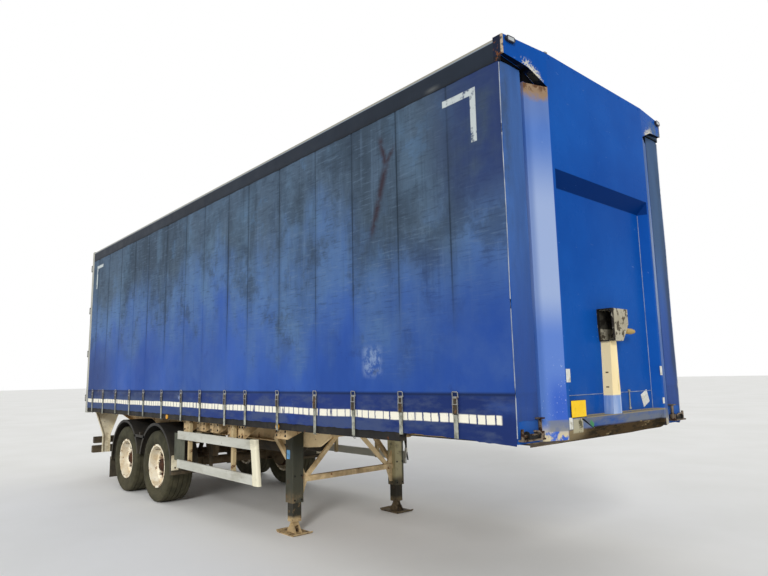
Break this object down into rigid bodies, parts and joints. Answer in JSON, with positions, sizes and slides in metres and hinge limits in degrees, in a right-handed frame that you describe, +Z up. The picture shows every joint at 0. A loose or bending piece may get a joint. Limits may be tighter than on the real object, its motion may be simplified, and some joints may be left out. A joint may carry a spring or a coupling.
{
  "type": "curtain-sided semi trailer",
  "caption": "Curtain-sided semi trailer parked on its landing legs, with a closed front wall, strapped side curtains, rear doors, a tandem air-sprung bogie and a kingpin.",
  "frame": {"origin": "on the ground, in the middle of the overall length and width", "axes": "+X forwards to the tractor end, +Y to the trailer's left, +Z up"},
  "size_m": [9.956, 2.58, 4.18],
  "materials": {
    "blue_paint": "gloss, faded",
    "curtain_fabric": "coated fabric, dirty",
    "strap_webbing": "webbing and steel buckles",
    "roof_rail_grey": "weathered",
    "roof_white": "translucent white",
    "deck_wood": "worn plywood",
    "chassis_tan": "matt, rusty",
    "chassis_black": "matt black",
    "bare_steel": "greasy, worn",
    "rear_paint": "pale grey",
    "zinc": "zinc plated",
    "guard_aluminium": "satin",
    "black_plastic": "matt",
    "amber_lens": "lens",
    "red_lens": "lens",
    "tyre_rubber": "dusty",
    "rim_cream": "chipped",
    "hub_rust": "rusty"
  },
  "bodies": {
    "trailer": {"air_springs": "black_plastic", "air_tanks": "chassis_black", "axles": "chassis_black", "corner_posts": "blue_paint", "coupler_plate": "chassis_black", "coupling_bracket": "bare_steel", "crossmembers": "chassis_tan", "curtain_left": "curtain_fabric", "curtain_right": "curtain_fabric", "curtain_straps": "strap_webbing", "curtain_tensioners": "chassis_black", "deck": "deck_wood", "front_wall": "blue_paint", "hanger_brackets": "chassis_black", "header_corners": "blue_paint", "hinge_brackets": "chassis_black", "kingpin": "bare_steel", "leg_braces": "chassis_tan", "leg_brackets": "chassis_tan", "leg_crank": "chassis_black", "leg_feet": "bare_steel", "leg_housings": "chassis_black", "main_beams": "chassis_tan", "marker_lamps": "amber_lens", "mudguard_stays": "chassis_tan", "mudguards": "black_plastic", "nose_plate": "blue_paint", "rear_bumper": "chassis_black", "rear_frame": "rear_paint", "rear_hangers": "rear_paint", "rear_lamps": "red_lens", "roof_bows": "roof_rail_grey", "roof_rails": "roof_rail_grey", "roof_skin": "roof_white", "service_duct": "blue_paint", "shock_absorbers": "chassis_black", "side_guards": "guard_aluminium", "side_raves": "chassis_black", "trailing_arms": "chassis_black"},
    "door_left": {"door_left_gear": "zinc", "door_left_leaf": "rear_paint"},
    "door_right": {"door_right_gear": "zinc", "door_right_leaf": "rear_paint"},
    "wheel_front_left": {"hub_front_left": "hub_rust", "rim_front_left": "rim_cream", "tyre_front_left": "tyre_rubber"},
    "wheel_front_right": {"hub_front_right": "hub_rust", "rim_front_right": "rim_cream", "tyre_front_right": "tyre_rubber"},
    "wheel_rear_left": {"hub_rear_left": "hub_rust", "rim_rear_left": "rim_cream", "tyre_rear_left": "tyre_rubber"},
    "wheel_rear_right": {"hub_rear_right": "hub_rust", "rim_rear_right": "rim_cream", "tyre_rear_right": "tyre_rubber"}
  },
  "joints": [
    {"name": "wheel_front_left_spin", "type": "hinge", "parent": "trailer", "child": "wheel_front_left", "pos_m": [-1.537, 1.055, 0.5], "axis": [0, 1, 0], "continuous": true},
    {"name": "wheel_front_right_spin", "type": "hinge", "parent": "trailer", "child": "wheel_front_right", "pos_m": [-1.537, -1.055, 0.5], "axis": [0, 1, 0], "continuous": true},
    {"name": "wheel_rear_left_spin", "type": "hinge", "parent": "trailer", "child": "wheel_rear_left", "pos_m": [-2.797, 1.055, 0.5], "axis": [0, 1, 0], "continuous": true},
    {"name": "wheel_rear_right_spin", "type": "hinge", "parent": "trailer", "child": "wheel_rear_right", "pos_m": [-2.797, -1.055, 0.5], "axis": [0, 1, 0], "continuous": true},
    {"name": "door_left_hinge", "type": "hinge", "parent": "trailer", "child": "door_left", "pos_m": [-4.964, 1.263, 2.65], "axis": [0, 0, -1], "range_deg": [0, 260]},
    {"name": "door_right_hinge", "type": "hinge", "parent": "trailer", "child": "door_right", "pos_m": [-4.964, -1.263, 2.65], "axis": [0, 0, 1], "range_deg": [0, 260]}
  ]
}
